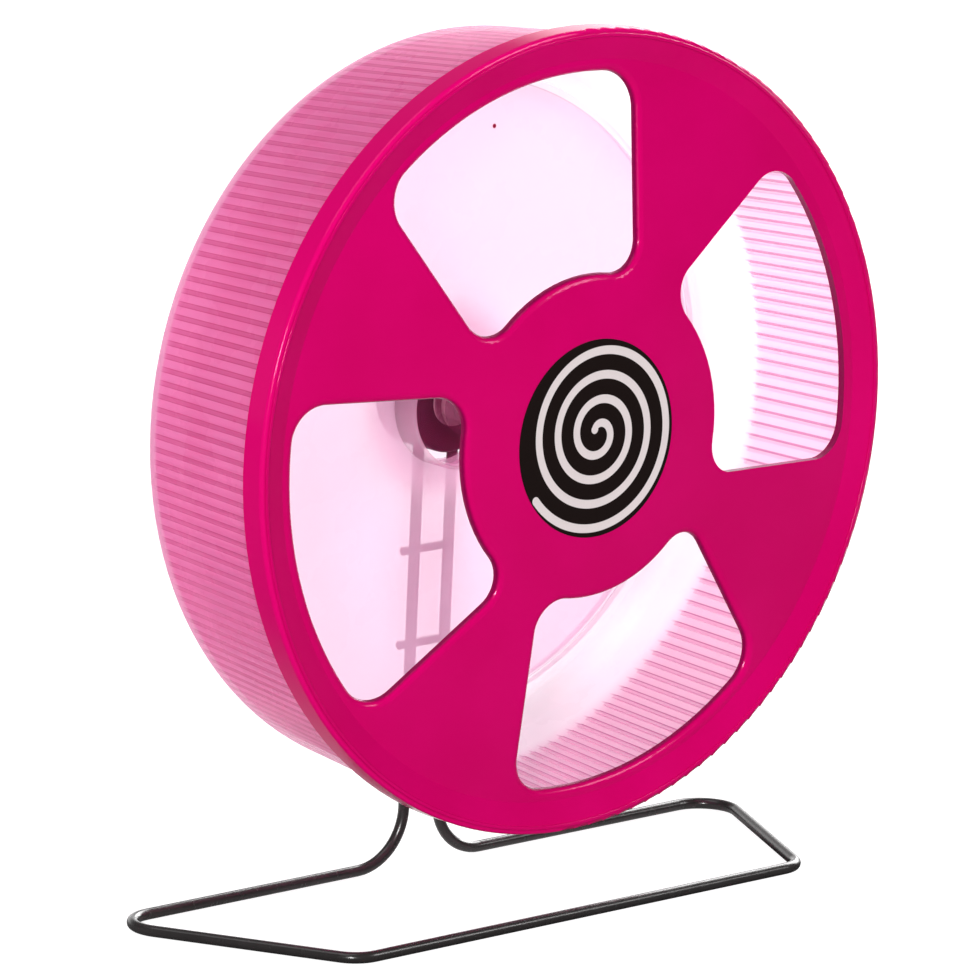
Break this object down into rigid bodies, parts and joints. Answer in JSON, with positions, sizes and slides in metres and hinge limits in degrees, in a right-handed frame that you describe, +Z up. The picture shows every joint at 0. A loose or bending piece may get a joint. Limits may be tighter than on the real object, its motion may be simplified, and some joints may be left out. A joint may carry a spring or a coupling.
{
  "type": "hamster wheel",
  "caption": "Small-pet running wheel: a ribbed drum with a dished windowed cover, turning on a shoulder bolt in a bearing block on a bent wire stand.",
  "frame": {"origin": "on the floor, at the middle of the whole object in X and Y", "axes": "+Z up, +Y towards the stand's uprights at the back, so the open front faces -Y; the wheel turns about Y"},
  "size_m": [0.28, 0.0972, 0.3095],
  "materials": {
    "cover_plastic": "glossy opaque pink",
    "drum_plastic": "translucent pink, smooth outside, ribbed inside",
    "label_film": "printed film, black with a white spiral",
    "bush_plastic": "natural low-friction plastic",
    "black_plastic": "black moulded plastic, satin",
    "plated_steel": "zinc plated",
    "coated_wire": "black coated steel wire, glossy"
  },
  "bodies": {
    "stand": {"axle_bolt": "plated_steel", "head_washer": "plated_steel", "nut_washer": "plated_steel", "lock_nut": "plated_steel", "block_front": "black_plastic", "block_back": "black_plastic", "block_screws": "plated_steel", "end_cap": "black_plastic", "wire_stand": "coated_wire", "upper_cross_wire": "coated_wire", "lower_cross_wire": "coated_wire"},
    "wheel": {"front_cover": "cover_plastic", "hub_label": "label_film", "running_drum": "drum_plastic", "front_bush": "bush_plastic", "rear_bush": "bush_plastic", "hub_cap": "drum_plastic"}
  },
  "joints": [
    {"name": "wheel_spin", "type": "hinge", "parent": "stand", "child": "wheel", "pos_m": [0, 0, 0.1695], "axis": [0, 1, 0], "continuous": true}
  ]
}
